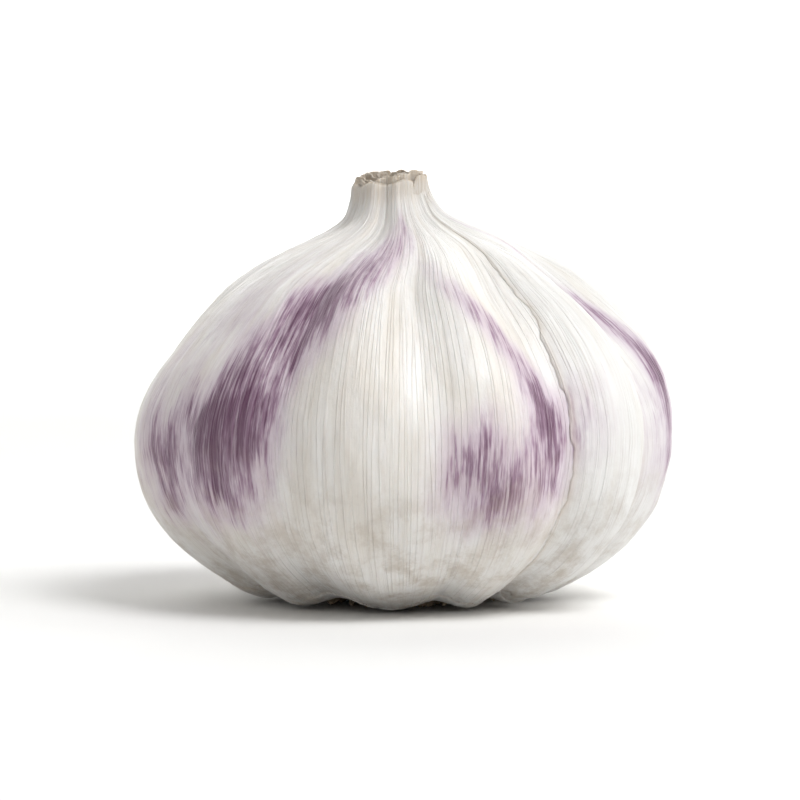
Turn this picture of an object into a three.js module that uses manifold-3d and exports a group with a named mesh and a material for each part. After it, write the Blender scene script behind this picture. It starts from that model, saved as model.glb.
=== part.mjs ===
// A purple-striped garlic bulb, as sold: dry papery skin drawn over its cloves, the neck cut short and the roots
// trimmed flat. Millimetres, +Z up, the origin at the middle of the trimmed root plate that it stands on.
// The front, which carries the strongest stripes, looks along -Y.
import * as THREE from "three";
import { mergeVertices } from "three/addons/utils/BufferGeometryUtils.js";
import Module from "manifold-3d";

// Driving dimensions
const BULB_RADIUS = 29; // to the crowns of the widest cloves
const NECK_RADIUS = 3.9;
const NECK_TOP = 45.2;
const ROOT_PLATE_RADIUS = 9.2;
const ROOT_SEAT = 2; // height of the plate's seat in the hollow under the cloves
const SEAT_RADIUS = 10.6;

// Each clove from the front round to the right: where it starts, in degrees, how deep the groove there is, as a share
// of GROOVE_DEPTH, how far its crown stands out, and how much higher its shoulder sits.
const CLOVES = [
  { start: -28, groove: 0.9, bulge: 0.2, lift: 0.3 },
  { start: 11, groove: 0.7, bulge: -0.3, lift: 0.6 },
  { start: 39, groove: 1.1, bulge: 0.4, lift: 0.5 },
  { start: 72, groove: 1.4, bulge: 0.1, lift: 1.0 },
  { start: 106, groove: 0.9, bulge: -0.5, lift: -0.2 },
  { start: 130, groove: 1.2, bulge: 0.5, lift: 0.7 },
  { start: 170, groove: 0.7, bulge: -0.1, lift: -0.5 },
  { start: 196, groove: 1.4, bulge: 0.4, lift: 0.6 },
  { start: 235, groove: 0.9, bulge: -0.4, lift: 0.1 },
  { start: 259, groove: 1.2, bulge: 0.2, lift: -0.7 },
  { start: 302, groove: 0.8, bulge: -0.3, lift: -0.1 },
];
const GROOVE_DEPTH = 1.5;
const GROOVE_SOFTNESS = 0.32; // 0 is a sharp crease between cloves
const GROOVE_WANDER = 0.09; // radians that a groove strays from its meridian between base and shoulder
const OUT_OF_ROUND = 0.35;

// The neck's dry sheath is pleated, turned a little and leans to the left.
const PLEATS = [
  { count: 5, depth: 0.26, turn: 0.4 },
  { count: 8, depth: 0.24, turn: 2.1 },
  { count: 13, depth: 0.14, turn: 4.4 },
];
const NECK_LEAN = new THREE.Vector2(-1.2, 0.4);
const NECK_TWIST = 0.35; // radians, from the shoulders to the cut
const CUT_SLOPE = 0.4; // how far the cut drops from one side to the other
const CUT_RAGGED = 0.22;

const SIDES = 120;
const STEPS_PER_SPAN = 2;
const ROOT_STUBS = 44;
const ROOT_STUB_RADIUS = 0.55;
const STUB_SIDES = 5;

const radians = THREE.MathUtils.degToRad;
const smoothstep = THREE.MathUtils.smoothstep;

// Outline of the dry skin from the middle of the root hollow up to the middle of the cut neck: radius, height.
const OUTLINE = [
  [SEAT_RADIUS, ROOT_SEAT],
  [12.2, 1.1],
  [14.8, 0.6],
  [18.6, 2.1],
  [23.4, 5.3],
  [27.3, 10.2],
  [BULB_RADIUS, 16.6],
  [28.4, 22.2],
  [25.8, 27.2],
  [21.3, 32.2],
  [16.0, 36.0],
  [10.9, 38.4],
  [7.3, 39.9],
  [5.2, 41.2],
  [NECK_RADIUS + 0.2, 43.2],
  [NECK_RADIUS, NECK_TOP - 0.3],
];
// The cut: the sheath's edge, the leaf bases rolled inside it and the dry stalk in the middle.
const CUT = [
  [NECK_RADIUS - 0.35, NECK_TOP],
  [NECK_RADIUS - 0.9, NECK_TOP - 0.7],
  [NECK_RADIUS - 1.5, NECK_TOP - 0.35],
  [NECK_RADIUS - 2.1, NECK_TOP - 0.9],
  [NECK_RADIUS - 3, NECK_TOP - 0.7],
  [0, NECK_TOP - 0.8],
];

// What the cloves do at an azimuth: how near it is to a crown, 0 in a groove and 1 on the crown, the nearer groove's
// depth, and the clove's bulge and lift.
function cloveAt(azimuth) {
  const first = radians(CLOVES[0].start);
  const turn = THREE.MathUtils.euclideanModulo(azimuth - first, 2 * Math.PI) + first;
  let k = CLOVES.length - 1;
  while (k > 0 && turn < radians(CLOVES[k].start)) k--;
  const next = CLOVES[(k + 1) % CLOVES.length];
  const start = radians(CLOVES[k].start);
  const end = k + 1 < CLOVES.length ? radians(next.start) : first + 2 * Math.PI;
  const across = (turn - start) / (end - start);
  const wave = Math.sin(Math.PI * across) ** 2;
  const soft = GROOVE_SOFTNESS ** 2;
  const crown = (Math.sqrt(wave + soft) - GROOVE_SOFTNESS) / (Math.sqrt(1 + soft) - GROOVE_SOFTNESS);
  const groove = GROOVE_DEPTH * (across < 0.5 ? CLOVES[k].groove : next.groove);
  return { crown, groove, bulge: CLOVES[k].bulge, lift: CLOVES[k].lift };
}

// How far the skin stands off the outline at an azimuth and a place on the outline.
function relief(azimuth, radius, height) {
  const stray = GROOVE_WANDER * Math.sin(2 * azimuth + 1) * ((height - 14) / 14);
  const { crown, groove, bulge, lift } = cloveAt(azimuth + stray);
  const onBody = smoothstep(radius, SEAT_RADIUS, 15) * (1 - smoothstep(height, 32, 40.5));
  const onFlank = smoothstep(radius, 16, 23) * (1 - smoothstep(height, 30, 38));
  const onShoulder = smoothstep(height, 16, 28) * (1 - smoothstep(height, 34, 39.5));
  const nearNeck = smoothstep(height, 36, 41.5);
  const roundness = OUT_OF_ROUND * (Math.sin(2 * azimuth + 0.7) + 0.6 * Math.sin(3 * azimuth + 2));
  const pleat = PLEATS.reduce((sum, p) => sum + p.depth * Math.sin(p.count * azimuth + p.turn), 0);
  return (
    -groove * (1 - crown) * onBody +
    crown * (bulge * onFlank + lift * onShoulder) +
    roundness * onFlank +
    pleat * nearNeck
  );
}

// Turns, leans and slopes the neck: everything above the shoulders follows.
function bendNeck(point, height) {
  const share = smoothstep(height, 34, NECK_TOP);
  const flat = new THREE.Vector2(point.x, point.y).rotateAround(new THREE.Vector2(), NECK_TWIST * share);
  flat.addScaledVector(NECK_LEAN, share);
  const slope = (CUT_SLOPE * share * point.x) / NECK_RADIUS;
  const azimuth = Math.atan2(point.x, -point.y);
  const ragged = CUT_RAGGED * smoothstep(height, NECK_TOP - 2, NECK_TOP) * Math.sin(7 * azimuth + 1);
  return point.set(flat.x, flat.y, point.z + slope + ragged);
}

// The whole outline as rows of radius, height and outward normal.
function outlineRows() {
  const toPoint = ([r, z]) => new THREE.Vector2(r, z);
  const side = new THREE.SplineCurve(OUTLINE.map(toPoint));
  const count = (OUTLINE.length - 1) * STEPS_PER_SPAN;
  const rows = [];
  rows.push({ at: new THREE.Vector2(0, ROOT_SEAT), out: new THREE.Vector2(0, -1) });
  for (let i = 0; i <= count; i++) {
    const tangent = side.getTangent(i / count);
    rows.push({ at: side.getPoint(i / count), out: new THREE.Vector2(tangent.y, -tangent.x) });
  }
  for (const pair of CUT) rows.push({ at: toPoint(pair), out: new THREE.Vector2(0, 0) });
  return rows;
}

// The skin: a turned outline, with each corner then moved out or in by the relief of the cloves and pleats. The seat
// stays flat, and the layers in the cut follow the pleats less and less towards the middle.
function bulbGeometry() {
  const rows = outlineRows();
  const turned = new THREE.LatheGeometry(rows.map((row) => row.at), SIDES);
  turned.rotateX(Math.PI / 2);
  const position = turned.getAttribute("position");
  const point = new THREE.Vector3();
  for (let i = 0; i < position.count; i++) {
    const { at, out } = rows[i % rows.length];
    const azimuth = (2 * Math.PI * (Math.floor(i / rows.length) % SIDES)) / SIDES;
    const onSeat = at.x <= SEAT_RADIUS && at.y <= ROOT_SEAT;
    const inCut = out.lengthSq() === 0;
    const height = onSeat ? 0 : relief(azimuth, at.x, at.y);
    const pleated = inCut ? height * (at.x / NECK_RADIUS) ** 2 : out.x * height;
    const radius = at.x + pleated;
    point.set(radius * Math.sin(azimuth), -radius * Math.cos(azimuth), at.y + out.y * height);
    bendNeck(point, at.y);
    position.setXYZ(i, point.x, point.y, point.z);
  }
  return turned;
}

const wasm = await Module();
wasm.setup();

// A closed three.js geometry as a solid that can be joined and cut.
function toSolid(geometry) {
  const bare = geometry.clone();
  bare.deleteAttribute("normal");
  bare.deleteAttribute("uv");
  const merged = mergeVertices(bare, 1e-4);
  return new wasm.Manifold(
    new wasm.Mesh({
      numProp: 3,
      vertProperties: merged.getAttribute("position").array,
      triVerts: new Uint32Array(merged.index.array),
    }),
  );
}

// A solid back as a geometry.
function toGeometry(solid) {
  const mesh = solid.getMesh();
  const geometry = new THREE.BufferGeometry();
  geometry.setAttribute("position", new THREE.BufferAttribute(new Float32Array(mesh.vertProperties), 3));
  geometry.setIndex(new THREE.BufferAttribute(new Uint32Array(mesh.triVerts), 1));
  return geometry;
}

// The plate's own disc, a little wider at the seat than at the flat underside.
function plateDisc() {
  const disc = new THREE.LatheGeometry(
    [
      new THREE.Vector2(0, 0),
      new THREE.Vector2(ROOT_PLATE_RADIUS - 1.1, 0),
      new THREE.Vector2(ROOT_PLATE_RADIUS - 0.3, 0.6),
      new THREE.Vector2(ROOT_PLATE_RADIUS, 1.3),
      new THREE.Vector2(ROOT_PLATE_RADIUS - 0.1, ROOT_SEAT),
      new THREE.Vector2(0, ROOT_SEAT),
    ],
    48,
  );
  return disc.rotateX(Math.PI / 2);
}

// One trimmed root: a tapered stub from inside the plate out over its edge and down.
function rootStub(azimuth, length, droop) {
  const stub = new THREE.CylinderGeometry(ROOT_STUB_RADIUS * 0.75, ROOT_STUB_RADIUS, length, STUB_SIDES);
  stub.rotateX(Math.PI / 2); // now along the plate's radius
  stub.translate(0, 0, length / 2);
  stub.rotateX(droop);
  stub.rotateX(Math.PI / 2);
  stub.translate(0, -(ROOT_PLATE_RADIUS - 2.2), 1.1);
  return stub.rotateZ(azimuth);
}

// The root plate with its ring of stubs, cut off flat at the surface that it stands on.
function rootPlateGeometry() {
  let plate = toSolid(plateDisc());
  for (let k = 0; k < ROOT_STUBS; k++) {
    const azimuth = (2 * Math.PI * (k + 0.35 * Math.sin(12.9 * k))) / ROOT_STUBS;
    const length = 3.6 + 0.8 * Math.sin(7.3 * k + 1);
    const droop = 0.16 + 0.14 * Math.sin(4.1 * k + 2);
    plate = plate.add(toSolid(rootStub(azimuth, length, droop)));
  }
  const span = 4 * SEAT_RADIUS;
  const above = new THREE.BoxGeometry(span, span, ROOT_SEAT).translate(0, 0, ROOT_SEAT / 2);
  return toGeometry(plate.intersect(toSolid(above)));
}

const skin = new THREE.MeshStandardMaterial({ color: 0xe9e4dc, roughness: 0.5, metalness: 0, flatShading: true });
const root = new THREE.MeshStandardMaterial({ color: 0xb59a72, roughness: 0.9, metalness: 0, flatShading: true });

const garlic = new THREE.Group();

const bulb = new THREE.Mesh(bulbGeometry(), skin);
bulb.name = "bulb";
garlic.add(bulb);

const rootPlate = new THREE.Mesh(rootPlateGeometry(), root);
rootPlate.name = "root_plate";
garlic.add(rootPlate);

export default garlic;
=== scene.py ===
# A purple-striped garlic bulb: papery skin over its cloves, loose wrappers, a cut neck and trimmed roots.
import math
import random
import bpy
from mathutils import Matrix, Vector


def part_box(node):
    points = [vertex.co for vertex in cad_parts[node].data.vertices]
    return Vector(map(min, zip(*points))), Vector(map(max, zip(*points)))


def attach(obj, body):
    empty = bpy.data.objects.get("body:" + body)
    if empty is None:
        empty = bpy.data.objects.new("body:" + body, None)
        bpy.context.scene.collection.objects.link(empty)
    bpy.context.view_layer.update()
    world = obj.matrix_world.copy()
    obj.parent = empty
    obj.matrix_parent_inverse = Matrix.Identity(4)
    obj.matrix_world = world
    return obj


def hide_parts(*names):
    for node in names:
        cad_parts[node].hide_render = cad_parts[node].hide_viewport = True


bl_info = {
    "name": "Garlic Bulb",
    "version": (1, 0, 0),
    "blender": (4, 5, 0),
    "location": "View3D > Sidebar > Garlic",
    "description": "Builds a purple-striped garlic bulb in papery skin, standing on its trimmed roots",
    "category": "Object",
}

from collections import namedtuple

import bpy
import numpy as np
from mathutils import Vector

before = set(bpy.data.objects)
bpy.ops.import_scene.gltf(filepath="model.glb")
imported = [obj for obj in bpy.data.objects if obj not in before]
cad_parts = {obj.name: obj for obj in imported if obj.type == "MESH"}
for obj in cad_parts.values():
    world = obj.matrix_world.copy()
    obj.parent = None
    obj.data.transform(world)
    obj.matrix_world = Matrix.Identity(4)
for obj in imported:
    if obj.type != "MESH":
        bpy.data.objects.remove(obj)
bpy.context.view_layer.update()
BULB_LOW, BULB_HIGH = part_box("bulb")
PLATE_LOW, PLATE_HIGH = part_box("root_plate")

MM = 0.001
BODY = "root"

# The form of the bulb, in millimetres, the same as the solid's.
BULB_RADIUS = 29.0
NECK_RADIUS = 3.9
NECK_TOP = 45.2
ROOT_SEAT = 2.0
SEAT_RADIUS = 10.6
OUTLINE = (
    (SEAT_RADIUS, ROOT_SEAT),
    (12.2, 1.1),
    (14.8, 0.6),
    (18.6, 2.1),
    (23.4, 5.3),
    (27.3, 10.2),
    (BULB_RADIUS, 16.6),
    (28.4, 22.2),
    (25.8, 27.2),
    (21.3, 32.2),
    (16.0, 36.0),
    (10.9, 38.4),
    (7.3, 39.9),
    (5.2, 41.2),
    (NECK_RADIUS + 0.2, 43.2),
    (NECK_RADIUS, NECK_TOP - 0.3),
)
CUT = (
    (NECK_RADIUS - 0.25, NECK_TOP),
    (NECK_RADIUS - 0.5, NECK_TOP - 0.7),
    (NECK_RADIUS - 1.0, NECK_TOP - 1.7),
    (NECK_RADIUS - 2.1, NECK_TOP - 1.5),
    (NECK_RADIUS - 3.0, NECK_TOP - 1.8),
    (0.0, NECK_TOP - 1.9),
)

# Where each clove starts, in degrees from the front round to the right, the share of the groove's depth
# there, and how far the clove bulges at its flank and lifts at its shoulder.
Clove = namedtuple("Clove", "start groove bulge lift")
CLOVES = (
    Clove(-28, 0.9, 0.2, 0.3),
    Clove(11, 0.7, -0.3, 0.6),
    Clove(39, 1.1, 0.4, 0.5),
    Clove(72, 1.4, 0.1, 1.0),
    Clove(106, 0.9, -0.5, -0.2),
    Clove(130, 1.2, 0.5, 0.7),
    Clove(170, 0.7, -0.1, -0.5),
    Clove(196, 1.4, 0.4, 0.6),
    Clove(235, 0.9, -0.4, 0.1),
    Clove(259, 1.2, 0.2, -0.7),
    Clove(302, 0.8, -0.3, -0.1),
)
GROOVE_DEPTH = 1.5
GROOVE_SOFTNESS = 0.32
# Grooves wander to the side above and below a level.
GROOVE_WANDER = 0.09
GROOVE_LEVEL = 14
OUT_OF_ROUND = 0.35
# Waves round the neck: how many, how deep and how far turned.
PLEATS = ((5, 0.26, 0.4), (8, 0.24, 2.1), (13, 0.14, 4.4))
NECK_LEAN = (-1.2, 0.4)
NECK_TWIST = 0.35
NECK_BEND_FROM = 34
# The cut's slope, and the waves of its edge: how high, how many and how far down they reach.
CUT_SLOPE = 0.4
CUT_RAGGED = 0.22
CUT_WAVES = 7
CUT_ZONE = 2

# Where a form fades in, by radius or height, and where it fades out again, by height.
GROOVES_IN, GROOVES_OUT = (SEAT_RADIUS, 15), (32, 40.5)
FLANK_IN, FLANK_OUT = (16, 23), (30, 38)
SHOULDER_IN, SHOULDER_OUT = (16, 28), (34, 39.5)
PLEATS_IN = (36, 41.5)

# Purple patches: centre in degrees and millimetres, half sizes, how far the patch turns with the square of
# its height above BEND_FROM, and how strong it is.
Patch = namedtuple("Patch", "azimuth height half_width half_length bend strength")
BEND_FROM = 20.0
# How sharply a patch ends.
PATCH_FALL = 1.2
BACK_SEED = 11
FRONT_PATCHES = (
    Patch(-42, 17.5, 12, 7.5, 0.080, 1.00),
    Patch(-40, 25, 15, 12, 0.080, 0.76),
    Patch(-37, 34, 13, 6.5, 0.080, 0.68),
    Patch(-64, 15.5, 14, 8, 0.0, 0.76),
    Patch(-66, 31, 16, 9, 0.05, 0.30),
    Patch(15, 15.5, 9, 5.5, 0.0, 0.56),
    Patch(24, 15.5, 14, 6.5, 0.0, 0.54),
    Patch(35, 19, 5.8, 7.5, -0.085, 0.70),
    Patch(33, 28, 5.5, 9, -0.085, 0.58),
    Patch(47, 22, 8, 7, -0.05, 0.26),
    Patch(86, 25, 3.6, 13, -0.035, 0.82),
    Patch(78, 21, 9, 12, -0.040, 0.32),
)


def smoothstep(value, low, high):
    share = np.clip((value - low) / (high - low), 0.0, 1.0)
    return share * share * (3 - 2 * share)


def spline_point(points, place):
    """The point at place, 0 to 1, on a uniform Catmull-Rom spline through the points."""
    points = np.asarray(points, float)
    spans = len(points) - 1
    along = np.clip(place, 0, 1) * spans
    k = np.minimum(along.astype(int), spans - 1)
    w = (along - k)[..., None]
    before, after = points[np.maximum(k - 1, 0)], points[np.minimum(k + 2, spans)]
    here, there = points[k], points[k + 1]
    leave, arrive = (there - before) / 2, (after - here) / 2
    bend = (2 * here - 2 * there + leave + arrive) * w**3
    return bend + (3 * there - 3 * here - 2 * leave - arrive) * w**2 + leave * w + here


# Places on the outline by the share of its length, so that rows of the skin can be spaced evenly.
OUTLINE_PLACES = np.linspace(0, 1, 1500)
OUTLINE_STEPS = np.diff(spline_point(OUTLINE, OUTLINE_PLACES), axis=0)
OUTLINE_RUN = np.concatenate([[0], np.cumsum(np.hypot(OUTLINE_STEPS[:, 0], OUTLINE_STEPS[:, 1]))])
OUTLINE_LENGTH = float(OUTLINE_RUN[-1])


def outline_at(share):
    """Radius, height and outward normal of the outline at a share of its length, from the root seat up."""
    place = np.interp(share * OUTLINE_LENGTH, OUTLINE_RUN, OUTLINE_PLACES)
    at = spline_point(OUTLINE, place)
    step = 1e-4
    along = spline_point(OUTLINE, place + step) - spline_point(OUTLINE, place - step)
    size = np.hypot(along[..., 0], along[..., 1])
    return at[..., 0], at[..., 1], along[..., 1] / size, -along[..., 0] / size


def clove_at(azimuth):
    """How near the azimuths are to a crown, the nearer groove's depth, and the clove's bulge and lift."""
    starts = np.radians([c.start for c in CLOVES])
    ends = np.append(starts[1:], starts[0] + 2 * math.pi)
    turn = (azimuth - starts[0]) % (2 * math.pi) + starts[0]
    k = np.clip(np.searchsorted(starts, turn, side="right") - 1, 0, len(CLOVES) - 1)
    across = (turn - starts[k]) / (ends[k] - starts[k])
    wave = np.sin(math.pi * across) ** 2
    soft = GROOVE_SOFTNESS
    crown = (np.sqrt(wave + soft**2) - soft) / (math.sqrt(1 + soft**2) - soft)
    table = np.array(CLOVES)
    nearer = np.where(across < 0.5, k, (k + 1) % len(CLOVES))
    return crown, GROOVE_DEPTH * table[nearer, 1], table[k, 2], table[k, 3]


def pleats_at(azimuth):
    return sum(depth * np.sin(count * azimuth + turn) for count, depth, turn in PLEATS)


def relief(azimuth, radius, height):
    """How far the skin stands off the outline."""
    stray = GROOVE_WANDER * np.sin(2 * azimuth + 1) * ((height - GROOVE_LEVEL) / GROOVE_LEVEL)
    crown, groove, bulge, lift = clove_at(azimuth + stray)
    on_body = smoothstep(radius, *GROOVES_IN) * (1 - smoothstep(height, *GROOVES_OUT))
    on_flank = smoothstep(radius, *FLANK_IN) * (1 - smoothstep(height, *FLANK_OUT))
    on_shoulder = smoothstep(height, *SHOULDER_IN) * (1 - smoothstep(height, *SHOULDER_OUT))
    roundness = OUT_OF_ROUND * (np.sin(2 * azimuth + 0.7) + 0.6 * np.sin(3 * azimuth + 2))
    swell = crown * (bulge * on_flank + lift * on_shoulder) + roundness * on_flank
    return swell - groove * (1 - crown) * on_body + pleats_at(azimuth) * smoothstep(height, *PLEATS_IN)


def ring_point(azimuth, radius, z):
    """Points round the axis: azimuth 0 is the front, and it turns to the right."""
    return np.stack([radius * np.sin(azimuth), -radius * np.cos(azimuth), z], -1)


def bend_neck(azimuth, radius, z, height):
    """Points round the axis, turned, leant and sloped where they lie above the shoulders."""
    x, y = radius * np.sin(azimuth), -radius * np.cos(azimuth)
    share = smoothstep(height, NECK_BEND_FROM, NECK_TOP)
    cos, sin = np.cos(NECK_TWIST * share), np.sin(NECK_TWIST * share)
    slope = CUT_SLOPE * share * x / NECK_RADIUS
    waves = np.sin(CUT_WAVES * np.arctan2(x, -y) + 1)
    ragged = CUT_RAGGED * smoothstep(height, NECK_TOP - CUT_ZONE, NECK_TOP) * waves
    turned_x = x * cos - y * sin + NECK_LEAN[0] * share
    turned_y = x * sin + y * cos + NECK_LEAN[1] * share
    return np.stack([turned_x, turned_y, z + slope + ragged], -1)


def skin_point(azimuth, share, stand_off=0.0):
    """Points of the skin, in millimetres, at azimuths and shares of the outline, with an extra stand-off."""
    radius, height, out_r, out_z = outline_at(share)
    rise = relief(azimuth, radius, height) + stand_off
    return bend_neck(azimuth, radius + out_r * rise, height + out_z * rise, height)


def cut_point(azimuth, radius, height):
    """Points of the cut end of the neck, where the layers follow the pleats less towards the middle."""
    pleated = relief(azimuth, radius, height) * (radius / NECK_RADIUS) ** 2
    return bend_neck(azimuth, radius + pleated, height + 0 * azimuth, height)


def back_patches():
    """Patches of the cloves that face away, one or two a clove, by a seeded rule."""
    draw = random.Random(BACK_SEED)
    made = []
    for clove, after in zip(CLOVES[4:-2], CLOVES[5:-1]):
        middle = (clove.start + after.start) / 2
        half = (after.start - clove.start) / 2
        made.append(
            Patch(
                middle + draw.uniform(-0.5, 0.5) * half,
                draw.uniform(13, 24),
                draw.uniform(0.35, 0.8) * half,
                draw.uniform(6, 12),
                draw.uniform(-0.05, 0.05),
                draw.uniform(0.6, 1.0),
            )
        )
        if draw.random() < 0.6:
            made.append(
                Patch(
                    clove.start + draw.uniform(0, 5),
                    draw.uniform(12, 30),
                    draw.uniform(2.5, 5),
                    draw.uniform(8, 13),
                    draw.uniform(-0.05, 0.05),
                    draw.uniform(0.5, 0.9),
                )
            )
    return tuple(made)


PATCHES = FRONT_PATCHES + back_patches()


def blush_at(azimuth, height):
    """How purple the skin is, 0 to 1, before the shader breaks it into streaks."""
    degrees = np.degrees(azimuth)
    clear = np.ones(np.broadcast(azimuth, height).shape)
    for patch in PATCHES:
        centre = patch.azimuth + patch.bend * np.maximum(0, height - BEND_FROM) ** 2
        aside = ((degrees - centre + 180) % 360 - 180) / patch.half_width
        above = (height - patch.height) / patch.half_length
        clear = clear * (1 - patch.strength * np.exp(-(aside**2) ** PATCH_FALL - (above**2) ** PATCH_FALL))
    return 1 - clear


def frame_fit():
    """The scale from the form's millimetres to the frame's metres, measured on the bulb's box."""
    azimuth, share = np.meshgrid(np.linspace(0, 2 * math.pi, 361), np.linspace(0, 1, 300))
    form = skin_point(azimuth, share).reshape(-1, 3)
    width = float(np.ptp(form[:, 0]) + np.ptp(form[:, 1]))
    return ((BULB_HIGH.x - BULB_LOW.x) + (BULB_HIGH.y - BULB_LOW.y)) / width


FORM_UNIT = frame_fit()


# Mesh making


def new_object(name, data):
    made = bpy.data.objects.new(name, data)
    bpy.context.scene.collection.objects.link(made)
    return made


def mesh_from(name, points, faces):
    mesh = bpy.data.meshes.new(name)
    mesh.from_pydata(points.reshape(-1, 3).tolist(), [], faces)
    mesh.validate()
    mesh.polygons.foreach_set("use_smooth", [True] * len(mesh.polygons))
    return new_object(name, mesh)


def grid_faces(rows, columns, closed):
    """Quads of a grid of points, row by row; closed grids join their last column to the first."""
    last = columns if closed else columns - 1
    i, j = np.meshgrid(np.arange(rows - 1), np.arange(last), indexing="ij")
    k = (j + 1) % columns
    quads = np.stack([i * columns + j, i * columns + k, (i + 1) * columns + k, (i + 1) * columns + j], -1)
    return quads.reshape(-1, 4).tolist()


def shell_faces(rows, columns):
    """Faces of rings of points, closed by fans to a low and a high middle point that follow the rings."""
    faces = grid_faces(rows, columns, closed=True)
    low, high, top = rows * columns, rows * columns + 1, (rows - 1) * columns
    for j in range(columns):
        k = (j + 1) % columns
        faces.append((low, k, j))
        faces.append((high, top + j, top + k))
    return faces


def set_attributes(obj, grain, **numbers):
    """Keeps the fibres' coordinates and some numbers for each vertex, for the node trees to read."""
    made = obj.data.attributes.new("grain", "FLOAT_VECTOR", "POINT")
    made.data.foreach_set("vector", grain.astype(np.float32).ravel())
    for name, values in numbers.items():
        made = obj.data.attributes.new(name, "FLOAT", "POINT")
        made.data.foreach_set("value", (np.zeros(len(grain)) + np.ravel(values)).astype(np.float32))


def grain_of(azimuth, run):
    """Coordinates that follow the fibres: round the bulb and along its outline, 1 for a bulb radius."""
    return ring_point(azimuth, 1, run / BULB_RADIUS + 0 * azimuth).reshape(-1, 3)


def thicken(obj, thickness, offset):
    shell = obj.modifiers.new("Thickness", "SOLIDIFY")
    shell.thickness = thickness
    shell.offset = offset


def finish_piece(obj, slot, *nodes):
    """Applies the modifiers as a plain mesh, and puts the piece on its body."""
    depsgraph = bpy.context.evaluated_depsgraph_get()
    mesh = bpy.data.meshes.new_from_object(
        obj.evaluated_get(depsgraph), preserve_all_data_layers=True, depsgraph=depsgraph
    )
    obj.modifiers.clear()
    obj.data = mesh
    mesh.name = obj.name
    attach(obj, BODY)
    if nodes:
        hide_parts(*nodes)


# Node trees


class Sketch:
    """Adds nodes to one tree and joins them."""

    def __init__(self, tree):
        self.tree = tree

    def add(self, kind, inputs=None, **settings):
        """A node with its settings, and with what feeds its inputs by name or number."""
        node = self.tree.nodes.new(kind)
        for name, value in settings.items():
            setattr(node, name, value)
        for name, value in (inputs or {}).items():
            self.feed(node.inputs[name], value)
        return node

    def feed(self, socket, value):
        if isinstance(value, bpy.types.NodeSocket):
            self.tree.links.new(value, socket)
        elif value is not None:
            socket.default_value = value

    def math(self, operation, a, b=None, clamp=False):
        return self.add("ShaderNodeMath", {0: a, 1: b}, operation=operation, use_clamp=clamp).outputs[0]

    def times(self, a, b):
        return self.math("MULTIPLY", a, b)

    def weighted(self, *terms):
        """The sum of values, each times its weight."""
        total = None
        for value, weight in terms:
            part = self.times(value, weight)
            total = part if total is None else self.math("ADD", total, part)
        return total

    def vector(self, operation, a, b=None):
        second = "Scale" if operation == "SCALE" else 1
        return self.add("ShaderNodeVectorMath", {0: a, second: b}, operation=operation).outputs[0]

    def combine(self, x, y, z):
        return self.add("ShaderNodeCombineXYZ", {0: x, 1: y, 2: z}).outputs[0]

    def height(self, vector):
        return self.add("ShaderNodeSeparateXYZ", {0: vector}).outputs[2]

    def noise(self, vector, scale, detail, roughness):
        inputs = {"Vector": vector, "Scale": scale, "Detail": detail, "Roughness": roughness}
        return self.add("ShaderNodeTexNoise", inputs).outputs[0]

    def grained(self, grain, fineness, detail, roughness):
        """Noise drawn out along the fibres, with its fineness round the bulb and along them."""
        around, along = fineness
        return self.noise(self.vector("MULTIPLY", grain, (around, around, along)), 1.0, detail, roughness)

    def stretch(self, value, low, high, to_low=0.0, to_high=1.0, smooth=True):
        inputs = dict(enumerate((value, low, high, to_low, to_high)))
        kind = "SMOOTHSTEP" if smooth else "LINEAR"
        return self.add("ShaderNodeMapRange", inputs, interpolation_type=kind).outputs[0]

    def mix(self, share, a, b):
        return self.add("ShaderNodeMix", {0: share, 6: (*a, 1), 7: (*b, 1)}, data_type="RGBA").outputs[2]

    def tint(self, below, mask, strength, colour):
        """A colour laid over what is below it, by a mask and a strength."""
        inputs = {0: self.times(mask, strength), 6: below, 7: (*colour, 1)}
        return self.add("ShaderNodeMix", inputs, data_type="RGBA").outputs[2]

    def put_out(self, values):
        """Ends a group: joins what it puts out to its output node."""
        self.add("NodeGroupOutput", values)
        return self.tree

    def put_out_geometry(self, geometry, material):
        """Ends a Geometry Nodes tree: nothing stays an instance, and the material is set."""
        realized = self.add("GeometryNodeRealizeInstances", {0: geometry}).outputs[0]
        paint = self.add("GeometryNodeSetMaterial", {"Geometry": realized, "Material": material})
        return self.put_out({"Geometry": paint.outputs[0]})


def floats(*titles):
    return dict.fromkeys(titles, "Float")


def new_group(name, kind, inputs, outputs):
    """A node group with named sockets, and the sockets of its input node."""
    tree = bpy.data.node_groups.new(name, kind)
    for direction, sockets in (("INPUT", inputs), ("OUTPUT", outputs)):
        for title, socket in sockets.items():
            tree.interface.new_socket(name=title, in_out=direction, socket_type="NodeSocket" + socket)
    sketch = Sketch(tree)
    return sketch, sketch.add("NodeGroupInput").outputs


def set_inputs(modifier, values):
    """Sets a Geometry Nodes modifier's inputs by their sockets' identifiers."""
    sockets = {
        item.name: item.identifier
        for item in modifier.node_group.interface.items_tree
        if item.item_type == "SOCKET" and item.in_out == "INPUT"
    }
    for title, value in values.items():
        modifier[sockets[title]] = value


# How fine each pattern is round the bulb and along the fibres, for a bulb radius.
RAISED_VEINS = (30.0, 1.2)
RAISED_WRINKLES = (11.0, 1.8)
RAISED_CRUMPLE = (5.0, 4.0)
VEINS = (36.0, 0.7)
FIBRES = (150.0, 3.0)
MOTTLE = (8.0, 2.2)
CREASES = (24.0, 13.0)
VEIN_FADING = (9.0, 5.0)
PATCHINESS = (7.0, 4.0)
STREAKS = (30.0, 4.4)
FINE_STREAKS = (95.0, 6.5)

# How wide a raised ridge and a drawn vein are, in the noise that they come from.
RIDGE_HALF = 0.12
VEIN_HALF = 0.045
# How high the soil dust reaches, and how much of the skin it hides; low on the bulb it is also painted shade,
# darkening the skin towards the bottom.
SOIL_AND_SHADE_TOP = 22 * MM
SOIL_AND_SHADE_STRENGTH = 0.66


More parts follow.
